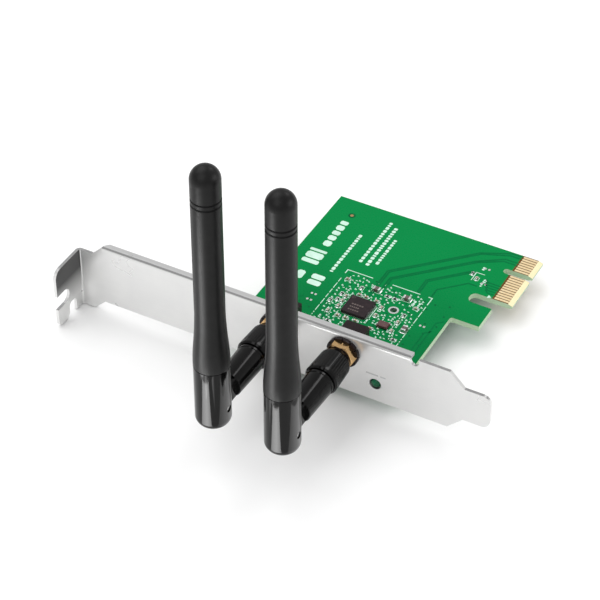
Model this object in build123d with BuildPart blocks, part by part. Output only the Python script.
"""PCI Express x1 wireless card with a full-height slot bracket and two hinged antennas.

Frame: the origin is the centre of the bracket's screw slot, on the tab's seat face.
+X runs along the bracket to its tongue, +Y from the bracket to the rear of the board,
+Z out of the board's component side. Millimetres.
"""
from build123d import *
from math import cos, pi, sin
import os

os.makedirs("parts", exist_ok=True)

# ---- bracket, a standard full-height slot bracket in 0.86 mm steel ----
SHEET = 0.86
BRACKET_LENGTH = 120.02
PLATE_WIDTH = 18.42
TONGUE_WIDTH = 10.19
TONGUE_START = 107.78
TONGUE_CORNER = 2.4
END_SHIFT = 3.17
END_STEP = 3.95
SLOT_R = 2.21
SLOT_TO_FACE = 8.10
TAB_DEPTH = 11.43
TAB_CORNER = 2.6
TOP_Z = 13.60
FLANGE_DEPTH = 2.35
FLANGE_END = 97.0
FLANGE_RADIUS = 1.0
RELIEF_WIDTH = 2.4
RELIEF_DEPTH = 2.2
BEND_INNER = 0.55
BEND_OUTER = BEND_INNER + SHEET - 0.02
FOLD_X = BEND_INNER + 0.05
LOBE_INNER_Y = 1.7
LOBE_CHAMFER = 1.3
TAB_CHAMFER = 1.0
NOTCH_OUTER_Y = 5.1
NOTCH_TOP_Z = -3.6
NOTCH_CORNER = 1.5

FACE_Y = SLOT_TO_FACE
BACK_Y = FACE_Y + SHEET
BOTTOM_Z = TOP_Z - PLATE_WIDTH
TIP_X = BRACKET_LENGTH - SHEET
TAPER = (PLATE_WIDTH - TONGUE_WIDTH) / 2
FLANGE_START = END_STEP + END_SHIFT
END_TOP_Z = TOP_Z - END_SHIFT
END_BOTTOM_Z = BOTTOM_Z - END_SHIFT
TAB_END_Y = FACE_Y - TAB_DEPTH

# ---- board ----
BOARD_THICK = 1.57
BOARD_TOP = TOP_Z - 14.5
BOARD_BOTTOM = BOARD_TOP - BOARD_THICK
BOARD_LEFT = 43.5
BOARD_RIGHT = 92.6
BOARD_FRONT = 9.5
EAR_RIGHT = 100.7
EAR_FRONT = 42.0
EAR_REAR = 50.1
EDGE_END = 104.9
EDGE_WIDTH = 20.3
KEY_Y = 66.1
KEY_WIDTH = 1.9
KEY_DEPTH = 8.0
BEVEL_LENGTH = 1.3
BEVEL_HEIGHT = 0.47
EDGE_FRONT = KEY_Y - 12.15
BOARD_REAR = EDGE_FRONT + EDGE_WIDTH
GAP_END = 93.4

CONTACT_PITCH = 1.0
CONTACT_WIDTH = 0.7
CONTACT_START = 99.5
CONTACT_END = 103.55
CONTACT_THICK = 0.05
CONTACT_ROWS = [KEY_Y - 11.5 + i * CONTACT_PITCH for i in range(11)]
CONTACT_ROWS += [KEY_Y + 1.5 + i * CONTACT_PITCH for i in range(7)]

# ---- antenna connectors: 1/4-36 thread, axis along Y ----
JACK_X = {"left": 59.3, "right": 78.65}
JACK_Z = TOP_Z - 5.5
THREAD_R = 3.175
THREAD_PITCH = 0.7056
THREAD_ROOT = 2.86
JACK_TIP = 9.6
JACK_SEAT = 7.65
JACK_HOLE_R = 3.25
JACK_BLOCK = (6.5, 7.0, 6.2)
LEG_R = 0.5
LEG_HOLE_R = 0.56
LEG_SPREAD = 4.6
LEG_BELOW = 1.0
DIELECTRIC_R = 2.05
PIN_R = 0.46
RUNNING = 0.06
WASHER_R = 4.4
WASHER_THICK = 1.0
HEX_FLAT_R = 3.55
HEX_THICK = 2.1

# ---- status lamp ----
LED_X = 87.6
LED_Z = BOARD_TOP + 1.6
LED_R = 1.45
LED_HOLE_R = 1.65
LED_LEAD = 0.46
LED_BACK = BOARD_FRONT + 2.4

# ---- antenna, distances d are in front of the bracket's face ----
NUT_START = 3.9
NUT_END = 12.7
NUT_REAR_R = 3.7
NUT_R = 4.2
NUT_FRONT_R = 4.5
NUT_REAR_CONE = 1.1
NUT_RIM = 1.2
KNURL_COUNT = 40
KNURL_R = 0.24
KNURL_DEPTH = 0.24
FERRULE_R = 2.90
FERRULE_REAR = 9.7
FERRULE_TAIL_R = 2.50
FERRULE_END = 18.0
RING_GROOVE_R = 2.40
RING_START = 10.77
RING_END = 11.53
RING_CAVITY_R = 3.55
CORE_END = 12.3
SOCKET_R = 0.79
SOCKET_DEPTH = 2.4
COAX_R = 0.90
COAX_BORE_R = 1.20
BARREL_START = 12.95
BARREL_R = 3.95
BARREL_GROOVE_R = 3.75
BARREL_END_R = 3.6
SHOULDER_D = 24.6
HINGE_D = 32.0
HINGE_Y = FACE_Y - HINGE_D
EYE_R = 2.8
EYE_HALF = 2.2
FORK_SLOT_R = 3.25
FORK_SLOT_HALF = 2.3
HINGE_PIN_R = 0.9
BASE_R = 4.57
BASE_BELOW = 6.0
BASE_CORNER = 2.6
BASE_ABOVE = 13.1
MAST_R = 3.7
MAST_TOP = 72.3
SPIGOT_R = 3.0
SPIGOT_TOP = 20.0
SLEEVE_START = 22.0
SLEEVE_END = 46.0
SLEEVE_R = 2.3
SLEEVE_WALL = 0.3
WIRE_R = 0.5
WIRE_END = 67.0
GROOVE_HALF = 0.32
GROOVE_DEPTH = 0.28


def save(part, name):
    part.label = name
    export_step(part, f"parts/{name}.step")


def connector_plane(x):
    """Half-section plane of a connector: local x is radius, local y is distance d."""
    return Plane(origin=(x, FACE_Y, JACK_Z), x_dir=(1, 0, 0), z_dir=(0, 0, -1))


def connector_axis(x):
    return Axis((x, FACE_Y, JACK_Z), (0, -1, 0))


def outward_plane(x, d):
    """Plane square to a connector's axis, facing away from the bracket."""
    return Plane(origin=(x, FACE_Y - d, JACK_Z), x_dir=(1, 0, 0), z_dir=(0, -1, 0))


def mast_plane(x):
    """Half-section plane of an upright antenna: local x is radius, local y is height."""
    return outward_plane(x, HINGE_D)


def mast_axis(x):
    return Axis((x, HINGE_Y, JACK_Z), (0, 0, 1))


def hinge_plane(x, offset):
    """Side-view plane at the hinge: local x is +Y, local y is +Z."""
    return Plane(origin=(x + offset, HINGE_Y, JACK_Z), x_dir=(0, 1, 0), z_dir=(1, 0, 0))


# ---- bracket, one folded sheet made as three solids that meet face to face ----
def make_bracket_plate():
    with BuildPart() as plate:
        with BuildSketch(Plane.XZ.offset(-BACK_Y)) as outline:
            with BuildLine():
                Polyline(
                    (FOLD_X, END_TOP_Z),
                    (END_STEP, END_TOP_Z),
                    (FLANGE_START, TOP_Z),
                    (TONGUE_START, TOP_Z),
                    (TONGUE_START + TAPER, TOP_Z - TAPER),
                    (TIP_X, TOP_Z - TAPER),
                    (TIP_X, BOTTOM_Z + TAPER),
                    (TONGUE_START + TAPER, BOTTOM_Z + TAPER),
                    (TONGUE_START, BOTTOM_Z),
                    (FLANGE_START, BOTTOM_Z),
                    (END_STEP, END_BOTTOM_Z),
                    (FOLD_X, END_BOTTOM_Z),
                    close=True,
                )
            make_face()
            fillet(outline.vertices().sort_by(Axis.X)[-2:], TONGUE_CORNER)
            with Locations((FLANGE_END + RELIEF_WIDTH / 2, TOP_Z)):
                SlotOverall(2 * RELIEF_DEPTH, RELIEF_WIDTH, rotation=90, mode=Mode.SUBTRACT)
            with Locations(((FLANGE_START + FLANGE_END) / 2, TOP_Z)):
                Rectangle(FLANGE_END - FLANGE_START, 2 * FLANGE_RADIUS, mode=Mode.SUBTRACT)
            with Locations(*[(x, JACK_Z) for x in JACK_X.values()]):
                Circle(JACK_HOLE_R, mode=Mode.SUBTRACT)
            with Locations((LED_X, LED_Z)):
                Circle(LED_HOLE_R, mode=Mode.SUBTRACT)
        extrude(amount=SHEET)
    save(plate.part, "bracket_plate")


def make_screw_tab():
    """Tab folded forward, its screw slot open at the outer end, with the fold itself."""
    with BuildPart() as tab:
        with BuildSketch(Plane.XZ.offset(-BACK_Y)):
            with Locations(((FOLD_X - SHEET) / 2, (END_TOP_Z + END_BOTTOM_Z) / 2)):
                Rectangle(FOLD_X + SHEET, END_TOP_Z - END_BOTTOM_Z)
        extrude(amount=SHEET)
        with BuildSketch(Plane.YZ.offset(-SHEET)) as outline:
            with BuildLine():
                Polyline(
                    (BACK_Y, END_TOP_Z),
                    (TAB_END_Y, END_TOP_Z),
                    (TAB_END_Y, END_BOTTOM_Z + TAB_CHAMFER),
                    (TAB_END_Y + TAB_CHAMFER, END_BOTTOM_Z),
                    (LOBE_INNER_Y - LOBE_CHAMFER, END_BOTTOM_Z),
                    (LOBE_INNER_Y, END_BOTTOM_Z + LOBE_CHAMFER),
                    (LOBE_INNER_Y, NOTCH_TOP_Z),
                    (NOTCH_OUTER_Y, NOTCH_TOP_Z),
                    (NOTCH_OUTER_Y, END_BOTTOM_Z),
                    (BACK_Y, END_BOTTOM_Z),
                    close=True,
                )
            make_face()
            notch_corners = outline.vertices().filter_by_position(
                Axis.Y, NOTCH_TOP_Z - 0.1, NOTCH_TOP_Z + 0.1
            )
            fillet(notch_corners, NOTCH_CORNER)
            outer_corner = outline.vertices().group_by(Axis.Y)[-1].sort_by(Axis.X)[0]
            fillet(outer_corner, TAB_CORNER)
            Circle(SLOT_R, mode=Mode.SUBTRACT)
            with Locations((TAB_END_Y, 0)):
                Rectangle(-2 * TAB_END_Y, 2 * SLOT_R, mode=Mode.SUBTRACT)
        extrude(amount=SHEET)

        upright = tab.edges().filter_by(Axis.Z)
        inner_fold = (
            upright.filter_by_position(Axis.X, -0.01, 0.01)
            .filter_by_position(Axis.Y, FACE_Y - 0.01, FACE_Y + 0.01)
        )
        fillet(inner_fold, BEND_INNER)
        outer_fold = (
            tab.edges().filter_by(Axis.Z)
            .filter_by_position(Axis.X, -SHEET - 0.01, -SHEET + 0.01)
            .filter_by_position(Axis.Y, BACK_Y - 0.01, BACK_Y + 0.01)
        )
        fillet(outer_fold, BEND_OUTER)
    save(tab.part, "screw_tab")


def make_edge_flange():
    """Stiffening flange, folded back along the bracket's top edge."""
    inner = FLANGE_RADIUS - SHEET
    fold_z = TOP_Z - FLANGE_RADIUS
    with BuildPart() as flange:
        with BuildSketch(Plane.YZ.offset(FLANGE_START)):
            with BuildLine():
                Line((FACE_Y, fold_z), (BACK_Y, fold_z))
                CenterArc((FACE_Y + FLANGE_RADIUS, fold_z), inner, 180, -90)
                Polyline(
                    (FACE_Y + FLANGE_RADIUS, TOP_Z - SHEET),
                    (FACE_Y + FLANGE_DEPTH, TOP_Z - SHEET),
                    (FACE_Y + FLANGE_DEPTH, TOP_Z),
                    (FACE_Y + FLANGE_RADIUS, TOP_Z),
                )
                CenterArc((FACE_Y + FLANGE_RADIUS, fold_z), FLANGE_RADIUS, 90, 90)
            make_face()
        extrude(amount=FLANGE_END - FLANGE_START)
        rear_corner = flange.edges().filter_by(Axis.Z).sort_by(Axis.Y)[-2:].sort_by(Axis.X)[0]
        chamfer(rear_corner, FLANGE_DEPTH - FLANGE_RADIUS - 0.1)
    save(flange.part, "edge_flange")


# ---- board and its components ----
def jack_leg_points():
    """The four corner legs of each jack's block, then its centre pin."""
    block_y = BACK_Y + JACK_BLOCK[1] / 2
    points = []
    for x in JACK_X.values():
        for side in (-1, 1):
            points.append((x + side * LEG_SPREAD / 2, block_y - LEG_SPREAD / 2))
            points.append((x + side * LEG_SPREAD / 2, block_y + LEG_SPREAD / 2))
        points.append((x, block_y))
    return points


LED_LEADS = [(LED_X - 1.27, BOARD_FRONT + 4.2), (LED_X + 1.27, BOARD_FRONT + 4.2)]
PLATED_HOLE = (78.2, 37.4)
PLATED_HOLE_R = 1.0


def make_board():
    with BuildPart() as board:
        with BuildSketch(Plane.XY.offset(BOARD_BOTTOM)) as outline:
            with BuildLine():
                Polyline(
                    (BOARD_LEFT, BOARD_FRONT),
                    (BOARD_RIGHT, BOARD_FRONT),
                    (BOARD_RIGHT, EAR_FRONT),
                    (EAR_RIGHT, EAR_FRONT),
                    (EAR_RIGHT, EAR_REAR),
                    (GAP_END, EAR_REAR),
                    (GAP_END, EDGE_FRONT),
                    (EDGE_END, EDGE_FRONT),
                    (EDGE_END, BOARD_REAR),
                    (BOARD_LEFT, BOARD_REAR),
                    close=True,
                )
            make_face()
            gap_corners = outline.vertices().filter_by_position(Axis.X, GAP_END - 0.1, GAP_END + 0.1)
            fillet(gap_corners, 1.6)
            inner_corner = (
                outline.vertices().filter_by_position(Axis.X, BOARD_RIGHT - 0.1, BOARD_RIGHT + 0.1)
                .sort_by(Axis.Y)[-1]
            )
            fillet(inner_corner, 0.8)
            with Locations((EDGE_END, KEY_Y)):
                SlotOverall(2 * KEY_DEPTH, KEY_WIDTH, mode=Mode.SUBTRACT)
            with Locations(*jack_leg_points()):
                Circle(LEG_HOLE_R, mode=Mode.SUBTRACT)
            with Locations(*LED_LEADS):
                Circle(0.4, mode=Mode.SUBTRACT)
            with Locations(PLATED_HOLE):
                Circle(PLATED_HOLE_R, mode=Mode.SUBTRACT)
        extrude(amount=BOARD_THICK)
        # lead-in bevel along the edge connector, on both faces
        with BuildSketch(Plane.XZ.offset(-EDGE_FRONT)):
            with BuildLine():
                Polyline(
                    (EDGE_END - BEVEL_LENGTH, BOARD_TOP),
                    (EDGE_END, BOARD_TOP - BEVEL_HEIGHT),
                    (EDGE_END, BOARD_TOP),
                    close=True,
                )
            make_face()
            with BuildLine():
                Polyline(
                    (EDGE_END - BEVEL_LENGTH, BOARD_BOTTOM),
                    (EDGE_END, BOARD_BOTTOM + BEVEL_HEIGHT),
                    (EDGE_END, BOARD_BOTTOM),
                    close=True,
                )
            make_face()
        extrude(amount=-EDGE_WIDTH, mode=Mode.SUBTRACT)
    save(board.part, "circuit_board")


def make_edge_contacts(name, level):
    length = CONTACT_END - CONTACT_START
    middle = (CONTACT_START + CONTACT_END) / 2
    with BuildPart() as contacts:
        with BuildSketch(Plane.XY.offset(level)):
            with Locations(*[(middle, y) for y in CONTACT_ROWS]):
                Rectangle(length, CONTACT_WIDTH)
        extrude(amount=CONTACT_THICK)
    save(contacts.part, name)


def make_wifi_chip():
    size = 7.0
    with BuildPart() as chip:
        with BuildSketch(Plane.XY.offset(BOARD_TOP)):
            with Locations((69.7, 33.7)):
                RectangleRounded(size, size, 0.25)
        extrude(amount=0.85)
        chamfer(chip.faces().sort_by(Axis.Z)[-1].edges(), 0.08)
    save(chip.part, "wifi_chip")


def make_crystal():
    with BuildPart() as crystal:
        with BuildSketch(Plane.XY.offset(BOARD_TOP)):
            with Locations((78.6, 30.5)):
                RectangleRounded(3.2, 2.5, 0.25)
        extrude(amount=0.5)
        with BuildSketch(Plane.XY.offset(BOARD_TOP + 0.5)):
            with Locations((78.6, 30.5)):
                RectangleRounded(2.8, 2.1, 0.3)
        extrude(amount=0.25)
    save(crystal.part, "crystal")


def make_blocks(name, size, places):
    """Small rectangular parts on the board: (x, y, turned a quarter)."""
    length, width, height = size
    with BuildPart() as blocks:
        with BuildSketch(Plane.XY.offset(BOARD_TOP)):
            for x, y, turned in places:
                with Locations((x, y)):
                    Rectangle(width if turned else length, length if turned else width)
        extrude(amount=height)
    save(blocks.part, name)


CAPACITORS = [
    (64.6, 36.4, True), (64.6, 34.2, True), (64.6, 32.0, True), (75.0, 36.6, True),
    (75.0, 33.2, True), (67.6, 38.6, False), (69.6, 38.6, False), (72.8, 38.4, False),
    (66.2, 28.6, False), (68.6, 28.6, False), (71.4, 28.8, False), (76.1, 27.9, False),
    (81.4, 29.6, True), (81.4, 33.4, True), (63.0, 29.2, True), (92.0, 59.4, True),
    (83.2, 40.6, False), (61.9, 42.9, False),
]
RESISTORS = [
    (63.2, 36.9, True), (63.2, 34.4, True), (74.4, 41.6, False), (76.6, 41.6, False),
    (66.8, 41.4, True), (81.6, 36.6, True), (72.9, 26.4, False), (61.6, 33.2, True),
    (90.2, 60.9, True), (83.4, 26.8, False), (64.9, 25.6, False),
]
INDUCTORS = [(70.7, 42.4, False), (79.4, 42.9, False), (84.2, 31.6, True)]


PAD_R = PLATED_HOLE_R + 0.45
PAD_THICK = 0.04
PLATING_R = PLATED_HOLE_R - 0.06


def make_plated_ring():
    """Plating down the hole with a round pad on each face."""
    layers = [
        (BOARD_BOTTOM - PAD_THICK, PAD_R, PAD_THICK),
        (BOARD_BOTTOM, PLATED_HOLE_R, BOARD_THICK),
        (BOARD_TOP, PAD_R, PAD_THICK),
    ]
    with BuildPart() as ring:
        for level, outer_r, thick in layers:
            with BuildSketch(Plane.XY.offset(level)):
                with Locations(PLATED_HOLE):
                    Circle(outer_r)
                    Circle(PLATING_R, mode=Mode.SUBTRACT)
            extrude(amount=thick)
    save(ring.part, "plated_hole_ring")


def make_led():
    """Right-angle lamp: a black carrier on the board, a domed lens through the bracket."""
    lens_plane = Plane(origin=(LED_X, FACE_Y, LED_Z), x_dir=(1, 0, 0), z_dir=(0, 0, -1))
    back = FACE_Y - LED_BACK
    tip = 0.35
    with BuildPart() as lens:
        with BuildSketch(lens_plane):
            with BuildLine():
                Polyline((0, back), (LED_R, back), (LED_R, tip - LED_R))
                CenterArc((0, tip - LED_R), LED_R, 0, 90)
                Line((0, tip), (0, back))
            make_face()
        revolve(axis=Axis((LED_X, FACE_Y, LED_Z), (0, -1, 0)))
    save(lens.part, "led_lens")

    carrier_front = BOARD_FRONT + 0.2
    carrier_depth = 3.2
    with BuildPart() as carrier:
        with BuildSketch(Plane.XY.offset(BOARD_TOP)):
            with Locations((LED_X, carrier_front + carrier_depth / 2)):
                RectangleRounded(4.2, carrier_depth, 0.3)
        extrude(amount=3.6)
        with BuildSketch(Plane.XZ.offset(-carrier_front)):
            with Locations((LED_X, LED_Z)):
                Circle(LED_R + 0.02)
        extrude(amount=carrier_front - LED_BACK - 0.02, mode=Mode.SUBTRACT)
    save(carrier.part, "led_carrier")

    foot = BOARD_BOTTOM - LEG_BELOW
    bend_y = LED_BACK + 1.0
    with BuildPart() as leads:
        for x, y in LED_LEADS:
            with BuildSketch(Plane.XY.offset(foot)):
                with Locations((x, y)):
                    Rectangle(LED_LEAD, LED_LEAD)
            extrude(amount=LED_Z + LED_LEAD / 2 - foot)
            with BuildSketch(Plane.XZ.offset(-bend_y)):
                with Locations((x, LED_Z)):
                    Rectangle(LED_LEAD, LED_LEAD)
            extrude(amount=bend_y - y)
    save(leads.part, "led_leads")


# ---- antenna jacks ----
def make_jack(side):
    x = JACK_X[side]
    width, depth, above = JACK_BLOCK
    block_y = BACK_Y + depth / 2
    rear = FACE_Y - BACK_Y
    with BuildPart() as jack:
        # threaded nose: annular ridges at the thread's pitch
        with BuildSketch(connector_plane(x)):
            with BuildLine():
                points = [(0, rear), (THREAD_R, rear), (THREAD_R, 2.35)]
                start = 2.35
                turns = int((JACK_TIP - 0.35 - start) / THREAD_PITCH)
                for i in range(turns):
                    d = start + i * THREAD_PITCH
                    points.append((THREAD_ROOT, d + THREAD_PITCH * 0.42))
                    points.append((THREAD_ROOT, d + THREAD_PITCH * 0.58))
                    points.append((THREAD_R, d + THREAD_PITCH * 0.94))
                    points.append((THREAD_R, d + THREAD_PITCH))
                points += [(THREAD_ROOT, JACK_TIP), (0, JACK_TIP)]
                Polyline(*points, close=True)
            make_face()
        revolve(axis=connector_axis(x))
        with BuildSketch(Plane.XY.offset(BOARD_TOP)):
            with Locations((x, block_y)):
                RectangleRounded(width, depth, 0.4)
        extrude(amount=JACK_Z - BOARD_TOP + above / 2)
        for dx in (-1, 1):
            for dy in (-1, 1):
                with BuildSketch(Plane.XY.offset(BOARD_BOTTOM - LEG_BELOW)):
                    with Locations((x + dx * LEG_SPREAD / 2, block_y + dy * LEG_SPREAD / 2)):
                        Circle(LEG_R)
                extrude(amount=BOARD_THICK + LEG_BELOW)
        # bore for the insulator, the wider seat at the tip, and the pin's way down
        with BuildSketch(outward_plane(x, rear - depth + 1.2)):
            Circle(DIELECTRIC_R)
        extrude(amount=JACK_TIP - rear + depth - 1.2, mode=Mode.SUBTRACT)
        with BuildSketch(outward_plane(x, JACK_SEAT)):
            Circle(DIELECTRIC_R + 0.30)
        extrude(amount=JACK_TIP - JACK_SEAT, mode=Mode.SUBTRACT)
        with BuildSketch(Plane.XY.offset(BOARD_TOP)):
            with Locations((x, block_y)):
                Circle(1.1)
        extrude(amount=JACK_Z - BOARD_TOP, mode=Mode.SUBTRACT)
    save(jack.part, f"jack_body_{side}")

    with BuildPart() as insulator:
        with BuildSketch(outward_plane(x, rear - depth / 2 + 1.1)):
            Circle(DIELECTRIC_R - 0.01)
            Circle(PIN_R, mode=Mode.SUBTRACT)
        extrude(amount=JACK_SEAT - 0.05 - rear + depth / 2 - 1.1)
    save(insulator.part, f"jack_insulator_{side}")

    pin_tip = JACK_TIP - 0.1
    with BuildPart() as pin:
        with BuildSketch(connector_plane(x)):
            with BuildLine():
                Polyline(
                    (0, rear - depth / 2 - PIN_R),
                    (PIN_R, rear - depth / 2 - PIN_R),
                    (PIN_R, pin_tip - 0.3),
                    (PIN_R / 2, pin_tip),
                    (0, pin_tip),
                    close=True,
                )
            make_face()
        revolve(axis=connector_axis(x))
        with BuildSketch(Plane.XY.offset(BOARD_BOTTOM - LEG_BELOW)):
            with Locations((x, block_y)):
                Circle(PIN_R)
        extrude(amount=JACK_Z - BOARD_BOTTOM + LEG_BELOW)
    save(pin.part, f"jack_pin_{side}")


def make_jack_fasteners():
    """A toothed washer and a hexagon nut clamp each jack to the bracket."""
    with BuildPart() as washers:
        for x in JACK_X.values():
            with BuildSketch(outward_plane(x, 0)):
                Circle(WASHER_R)
                Circle(THREAD_R + 0.07, mode=Mode.SUBTRACT)
                with PolarLocations(WASHER_R - 0.3, 12):
                    Rectangle(0.9, 0.3, rotation=25, mode=Mode.SUBTRACT)
            extrude(amount=WASHER_THICK)
    save(washers.part, "lock_washers")

    top = WASHER_THICK + HEX_THICK
    beyond_corners = HEX_FLAT_R + 0.9
    with BuildPart() as nuts:
        for x in JACK_X.values():
            with BuildSketch(outward_plane(x, WASHER_THICK)):
                RegularPolygon(HEX_FLAT_R, 6, major_radius=False)
                Circle(THREAD_R + 0.03, mode=Mode.SUBTRACT)
            extrude(amount=HEX_THICK)
            with BuildSketch(connector_plane(x)):
                with BuildLine():
                    Polyline(
                        (HEX_FLAT_R - 0.05, top), (beyond_corners, top), (beyond_corners, top - 0.55),
                        close=True,
                    )
                make_face()
            revolve(axis=connector_axis(x), mode=Mode.SUBTRACT)
    save(nuts.part, "hex_nuts")


# ---- antenna ----
def make_coupling_nut(side):
    x = JACK_X[side]
    bore = THREAD_R + RUNNING
    neck = FERRULE_R + 0.08
    with BuildPart() as nut:
        with BuildSketch(connector_plane(x)):
            with BuildLine():
                Polyline(
                    (bore + 0.2, NUT_START),
                    (NUT_REAR_R, NUT_START),
                    (NUT_R, NUT_START + NUT_REAR_CONE),
                    (NUT_FRONT_R, NUT_END - NUT_RIM),
                    (NUT_FRONT_R, NUT_END - 0.5),
                    (NUT_FRONT_R - 0.35, NUT_END),
                    (neck, NUT_END),
                    (neck, RING_END + 0.02),
                    (RING_CAVITY_R, RING_END + 0.02),
                    (RING_CAVITY_R, RING_START - 0.02),
                    (neck, RING_START - 0.02),
                    (neck, FERRULE_REAR + 0.3),
                    (bore, FERRULE_REAR + 0.3),
                    (bore, NUT_START + 0.2),
                    close=True,
                )
            make_face()
        revolve(axis=connector_axis(x))
        # straight knurl that follows the nut's slight cone
        first = NUT_START + 0.7
        last = NUT_END - NUT_RIM - 0.1
        slope = (NUT_FRONT_R - NUT_R) / (NUT_END - NUT_RIM - NUT_START - NUT_REAR_CONE)
        start_r = NUT_R - slope * (NUT_START + NUT_REAR_CONE - first) + KNURL_R - KNURL_DEPTH
        planes = []
        for i in range(KNURL_COUNT):
            turn = 2 * pi * i / KNURL_COUNT
            radial = (cos(turn), 0, sin(turn))
            planes.append(Plane(
                origin=(x + start_r * radial[0], FACE_Y - first, JACK_Z + start_r * radial[2]),
                x_dir=(-sin(turn), 0, cos(turn)),
                z_dir=(slope * radial[0], -1, slope * radial[2]),
            ))
        with BuildSketch(*planes):
            Circle(KNURL_R)
        extrude(amount=last - first, mode=Mode.SUBTRACT)
    save(nut.part, f"coupling_nut_{side}")


def make_plug(side):
    x = JACK_X[side]
    with BuildPart() as ring:
        with BuildSketch(outward_plane(x, RING_START + 0.05)):
            Circle(RING_CAVITY_R - RUNNING)
            Circle(RING_GROOVE_R + RUNNING, mode=Mode.SUBTRACT)
            with Locations((0, -FERRULE_R - 0.1)):
                Rectangle(1.6, 2.2, mode=Mode.SUBTRACT)
        extrude(amount=RING_END - RING_START - 0.1)
    save(ring.part, f"snap_ring_{side}")

    nose = JACK_SEAT + 0.05
    nose_r = DIELECTRIC_R + 0.24
    with BuildPart() as ferrule:
        with BuildSketch(connector_plane(x)):
            with BuildLine():
                Polyline(
                    (DIELECTRIC_R, nose),
                    (nose_r, nose),
                    (nose_r, FERRULE_REAR),
                    (FERRULE_R, FERRULE_REAR),
                    (FERRULE_R, RING_START),
                    (RING_GROOVE_R, RING_START),
                    (RING_GROOVE_R, RING_END),
                    (FERRULE_R, RING_END),
                    (FERRULE_R, BARREL_START - 0.05),
                    (FERRULE_TAIL_R, BARREL_START - 0.05),
                    (FERRULE_TAIL_R, FERRULE_END),
                    (COAX_BORE_R - 0.1, FERRULE_END),
                    (COAX_BORE_R - 0.1, CORE_END),
                    (DIELECTRIC_R, CORE_END),
                    close=True,
                )
            make_face()
        revolve(axis=connector_axis(x))
    save(ferrule.part, f"plug_ferrule_{side}")

    with BuildPart() as insulator:
        with BuildSketch(outward_plane(x, nose)):
            Circle(DIELECTRIC_R - 0.01)
            Circle(SOCKET_R + 0.01, mode=Mode.SUBTRACT)
        extrude(amount=CORE_END - nose)
    save(insulator.part, f"plug_insulator_{side}")

    with BuildPart() as socket:
        with BuildSketch(outward_plane(x, nose + 0.05)):
            Circle(SOCKET_R)
        extrude(amount=CORE_END - nose - 0.05)
        with BuildSketch(outward_plane(x, nose + 0.05)):
            Circle(PIN_R + RUNNING)
        extrude(amount=SOCKET_DEPTH, mode=Mode.SUBTRACT)
    save(socket.part, f"plug_socket_{side}")


def make_barrel(side):
    x = JACK_X[side]
    lip = BARREL_START + 0.2
    groove = lip + 0.5
    with BuildPart() as barrel:
        with BuildSketch(connector_plane(x)):
            with BuildLine():
                Polyline(
                    (FERRULE_R + 0.05, BARREL_START),
                    (BARREL_R - 0.17, BARREL_START),
                    (BARREL_R, lip),
                    (BARREL_R, groove),
                    (BARREL_GROOVE_R, groove + 0.15),
                    (BARREL_GROOVE_R, groove + 0.45),
                    (BARREL_R, groove + 0.65),
                    (BARREL_END_R, SHOULDER_D - 0.2),
                    (BARREL_END_R - 0.2, SHOULDER_D),
                    (COAX_BORE_R, SHOULDER_D),
                    (COAX_BORE_R, FERRULE_END),
                    (FERRULE_TAIL_R, FERRULE_END),
                    (FERRULE_TAIL_R, BARREL_START),
                    close=True,
                )
            make_face()
        revolve(axis=connector_axis(x))
        # flat neck with a round eye at the hinge
        root = SHOULDER_D - 0.6
        reach = HINGE_D - root
        with BuildSketch(hinge_plane(x, -EYE_HALF)):
            Circle(EYE_R)
            with Locations((reach / 2, 0)):
                Rectangle(reach, 2 * EYE_R)
        extrude(amount=2 * EYE_HALF)
        with BuildSketch(outward_plane(x, root)):
            Circle(COAX_BORE_R)
        extrude(amount=reach, mode=Mode.SUBTRACT)
        # room for the cable to leave upwards
        with BuildSketch(hinge_plane(x, -COAX_BORE_R)):
            with Locations((-(EYE_R - COAX_BORE_R) / 2, (EYE_R - COAX_BORE_R) / 2)):
                Rectangle(EYE_R + COAX_BORE_R, EYE_R + COAX_BORE_R)
        extrude(amount=2 * COAX_BORE_R, mode=Mode.SUBTRACT)
        with BuildSketch(hinge_plane(x, -EYE_HALF)):
            Circle(HINGE_PIN_R)
        extrude(amount=2 * EYE_HALF, mode=Mode.SUBTRACT)
    save(barrel.part, f"barrel_{side}")

    pin_inner, pin_outer = COAX_BORE_R + 0.05, BASE_R - 0.37
    with BuildPart() as pins:
        for start in (-pin_outer, pin_inner):
            with BuildSketch(hinge_plane(x, start)):
                Circle(HINGE_PIN_R)
            extrude(amount=pin_outer - pin_inner)
    save(pins.part, f"hinge_pins_{side}")

    coax_start = CORE_END + 0.05
    with BuildPart() as coax:
        with BuildSketch(outward_plane(x, coax_start)):
            Circle(COAX_R)
        extrude(amount=HINGE_D - EYE_R / 2 - coax_start)
    save(coax.part, f"coax_lower_{side}")


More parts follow.
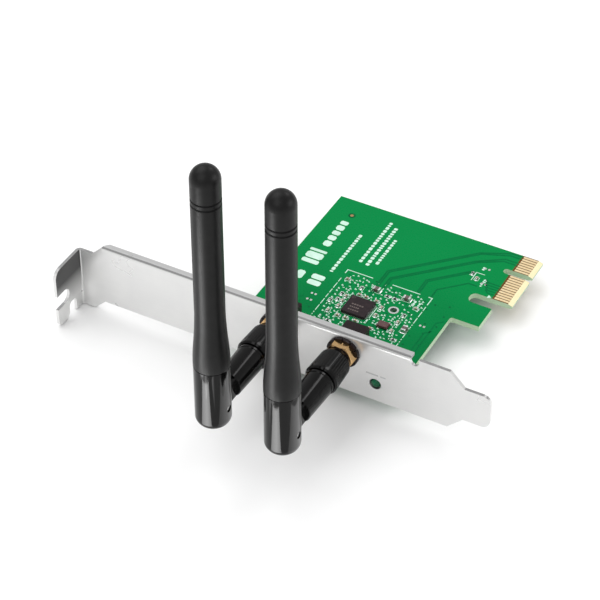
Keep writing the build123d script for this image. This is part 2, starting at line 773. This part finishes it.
def make_mast(side):
    x = JACK_X[side]
    beyond = BASE_BELOW + 1
    with BuildPart() as base:
        with BuildSketch(mast_plane(x)):
            with BuildLine():
                Polyline((0, -BASE_BELOW), (BASE_R - BASE_CORNER, -BASE_BELOW))
                CenterArc((BASE_R - BASE_CORNER, BASE_CORNER - BASE_BELOW), BASE_CORNER, -90, 90)
                Polyline(
                    (BASE_R, BASE_CORNER - BASE_BELOW),
                    (BASE_R, BASE_ABOVE - 0.25),
                    (BASE_R - 0.2, BASE_ABOVE),
                    (SPIGOT_R, BASE_ABOVE),
                    (SPIGOT_R, SPIGOT_TOP),
                    (0, SPIGOT_TOP),
                    (0, -BASE_BELOW),
                )
            make_face()
        revolve(axis=mast_axis(x))
        # slot for the neck, open behind and below, so that the hinge can straighten
        with BuildSketch(hinge_plane(x, -FORK_SLOT_HALF)):
            Circle(FORK_SLOT_R)
            with Locations((beyond / 2, 0)):
                Rectangle(beyond, 2 * FORK_SLOT_R)
            with Locations((0, -beyond / 2)):
                Rectangle(2 * FORK_SLOT_R, beyond)
            with Locations((beyond / 2, -beyond / 2)):
                Rectangle(beyond, beyond)
        extrude(amount=2 * FORK_SLOT_HALF, mode=Mode.SUBTRACT)
        with BuildSketch(hinge_plane(x, -BASE_R)):
            Circle(HINGE_PIN_R + 0.05)
        extrude(amount=2 * BASE_R, mode=Mode.SUBTRACT)
        with BuildSketch(Plane.XY.offset(JACK_Z)):
            with Locations((x, HINGE_Y)):
                Circle(COAX_BORE_R + 0.1)
        extrude(amount=SPIGOT_TOP, mode=Mode.SUBTRACT)
    save(base.part, f"fork_base_{side}")

    seam = BASE_ABOVE + 0.02
    flare_start = BASE_ABOVE + 1.2
    with BuildPart() as radome:
        with BuildSketch(mast_plane(x)):
            with BuildLine():
                flare = Spline(
                    (BASE_R, flare_start),
                    (4.12, 21.5),
                    (MAST_R + 0.03, 31.0),
                    tangents=[(0, 1), (0, 1)],
                )
                points = [flare @ 1]
                for h in (MAST_TOP - 10.2, MAST_TOP - 8.8):
                    points.append((MAST_R, h - GROOVE_HALF))
                    points.append((MAST_R - GROOVE_DEPTH, h - GROOVE_HALF * 0.4))
                    points.append((MAST_R - GROOVE_DEPTH, h + GROOVE_HALF * 0.4))
                    points.append((MAST_R, h + GROOVE_HALF))
                points.append((MAST_R, MAST_TOP - MAST_R))
                Polyline(*points)
                CenterArc((0, MAST_TOP - MAST_R), MAST_R, 0, 90)
                Polyline(
                    (0, MAST_TOP),
                    (0, WIRE_END + 1.5),
                    (SLEEVE_R - 0.1, WIRE_END + 1.5),
                    (SLEEVE_R + SLEEVE_WALL, WIRE_END + 0.8),
                    (SLEEVE_R + SLEEVE_WALL, SPIGOT_TOP + 1.0),
                    (SPIGOT_R + 0.02, SPIGOT_TOP + 0.3),
                    (SPIGOT_R + 0.02, seam),
                    (BASE_R, seam),
                    (BASE_R, flare_start),
                )
            make_face()
        revolve(axis=mast_axis(x))
    save(radome.part, f"radome_{side}")

    sleeve_end_wall = 0.4
    with BuildPart() as sleeve:
        with BuildSketch(Plane.XY.offset(JACK_Z + SLEEVE_START)):
            with Locations((x, HINGE_Y)):
                Circle(SLEEVE_R)
                Circle(SLEEVE_R - SLEEVE_WALL, mode=Mode.SUBTRACT)
        extrude(amount=SLEEVE_END - SLEEVE_START)
        with BuildSketch(Plane.XY.offset(JACK_Z + SLEEVE_END - sleeve_end_wall)):
            with Locations((x, HINGE_Y)):
                Circle(SLEEVE_R - SLEEVE_WALL / 2)
                Circle(COAX_R + 0.02, mode=Mode.SUBTRACT)
        extrude(amount=sleeve_end_wall)
    save(sleeve.part, f"radiator_sleeve_{side}")

    coax_start = FORK_SLOT_R + 0.2
    with BuildPart() as coax:
        with BuildSketch(Plane.XY.offset(JACK_Z + coax_start)):
            with Locations((x, HINGE_Y)):
                Circle(COAX_R)
        extrude(amount=SLEEVE_END - coax_start)
    save(coax.part, f"coax_upper_{side}")

    with BuildPart() as wire:
        with BuildSketch(Plane.XY.offset(JACK_Z + SLEEVE_END)):
            with Locations((x, HINGE_Y)):
                Circle(WIRE_R)
        extrude(amount=WIRE_END - SLEEVE_END)
    save(wire.part, f"radiator_wire_{side}")


make_bracket_plate()
make_screw_tab()
make_edge_flange()
make_board()
make_edge_contacts("edge_contacts_top", BOARD_TOP)
make_edge_contacts("edge_contacts_bottom", BOARD_BOTTOM - CONTACT_THICK)
make_wifi_chip()
make_crystal()
make_blocks("chip_capacitors", (1.0, 0.5, 0.5), CAPACITORS)
make_blocks("chip_resistors", (1.0, 0.5, 0.35), RESISTORS)
make_blocks("chip_inductors", (2.0, 1.25, 0.95), INDUCTORS)
make_plated_ring()
make_led()
make_jack_fasteners()
for antenna in JACK_X:
    make_jack(antenna)
    make_coupling_nut(antenna)
    make_plug(antenna)
    make_barrel(antenna)
    make_mast(antenna)
